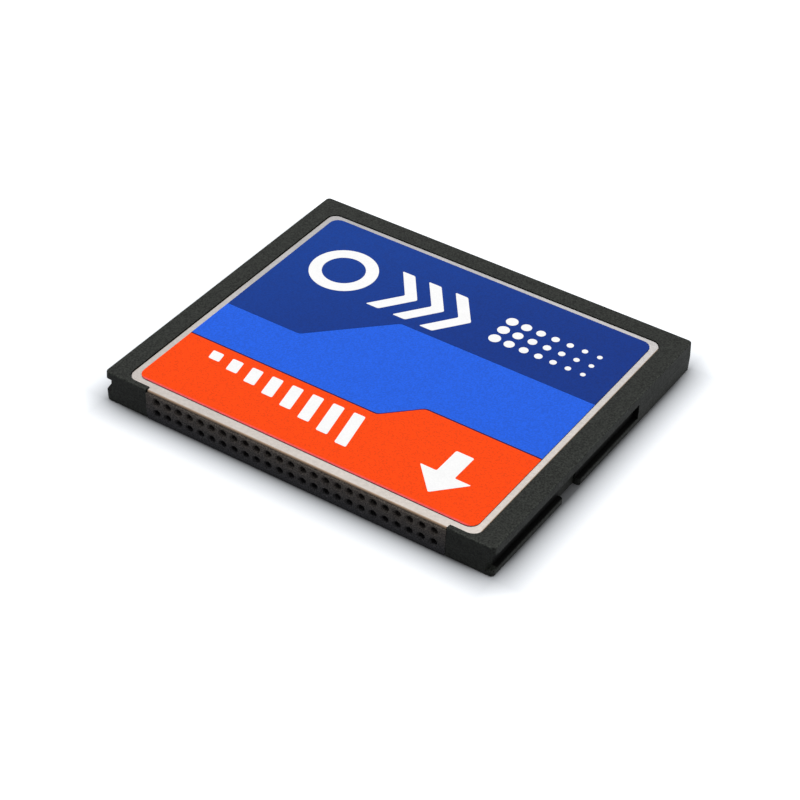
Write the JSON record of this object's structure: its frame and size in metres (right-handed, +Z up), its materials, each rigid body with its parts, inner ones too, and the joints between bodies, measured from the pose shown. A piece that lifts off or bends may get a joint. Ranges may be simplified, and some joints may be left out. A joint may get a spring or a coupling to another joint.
{
  "type": "compact flash card",
  "caption": "Thin flat memory card: steel covers on a keyed plastic frame with side guide slots, and a two-row pin socket in one edge.",
  "frame": {"origin": "centre of the card's outline, on the plane of its underside", "axes": "+X across the card, along the connector's pin rows, towards the wide guide slot; -Y out of the connector face; +Z up through the printed top cover"},
  "size_m": [0.0428, 0.0364, 0.0033],
  "materials": {
    "frame_plastic": "black moulded plastic with a fine spark-eroded grain",
    "connector_plastic": "dark grey moulded plastic, smoother than the frame",
    "cover_steel": "thin stainless sheet with a soft satin roll grain",
    "contact_gold": "gold-plated stamped spring contacts",
    "board_green": "green solder mask",
    "chip_epoxy": "black moulding compound",
    "print_orange": "satin printing ink",
    "print_bright_blue": "satin printing ink",
    "print_dark_blue": "satin printing ink"
  },
  "bodies": {
    "root": {"frame": "frame_plastic", "top_cover": "cover_steel", "bottom_cover": "cover_steel", "print_orange_field": "print_orange", "print_bright_blue_field": "print_bright_blue", "print_dark_blue_field": "print_dark_blue", "connector_housing": "connector_plastic", "circuit_board": "board_green", "memory_chip": "chip_epoxy", "controller_chip": "chip_epoxy", "contact_upper_01": "contact_gold", "contact_upper_02": "contact_gold", "contact_upper_03": "contact_gold", "contact_upper_04": "contact_gold", "contact_upper_05": "contact_gold", "contact_upper_06": "contact_gold", "contact_upper_07": "contact_gold", "contact_upper_08": "contact_gold", "contact_upper_09": "contact_gold", "contact_upper_10": "contact_gold", "contact_upper_11": "contact_gold", "contact_upper_12": "contact_gold", "contact_upper_13": "contact_gold", "contact_upper_14": "contact_gold", "contact_upper_15": "contact_gold", "contact_upper_16": "contact_gold", "contact_upper_17": "contact_gold", "contact_upper_18": "contact_gold", "contact_upper_19": "contact_gold", "contact_upper_20": "contact_gold", "contact_upper_21": "contact_gold", "contact_upper_22": "contact_gold", "contact_upper_23": "contact_gold", "contact_upper_24": "contact_gold", "contact_upper_25": "contact_gold", "contact_lower_01": "contact_gold", "contact_lower_02": "contact_gold", "contact_lower_03": "contact_gold", "contact_lower_04": "contact_gold", "contact_lower_05": "contact_gold", "contact_lower_06": "contact_gold", "contact_lower_07": "contact_gold", "contact_lower_08": "contact_gold", "contact_lower_09": "contact_gold", "contact_lower_10": "contact_gold", "contact_lower_11": "contact_gold", "contact_lower_12": "contact_gold", "contact_lower_13": "contact_gold", "contact_lower_14": "contact_gold", "contact_lower_15": "contact_gold", "contact_lower_16": "contact_gold", "contact_lower_17": "contact_gold", "contact_lower_18": "contact_gold", "contact_lower_19": "contact_gold", "contact_lower_20": "contact_gold", "contact_lower_21": "contact_gold", "contact_lower_22": "contact_gold", "contact_lower_23": "contact_gold", "contact_lower_24": "contact_gold", "contact_lower_25": "contact_gold"}
  },
  "joints": []
}
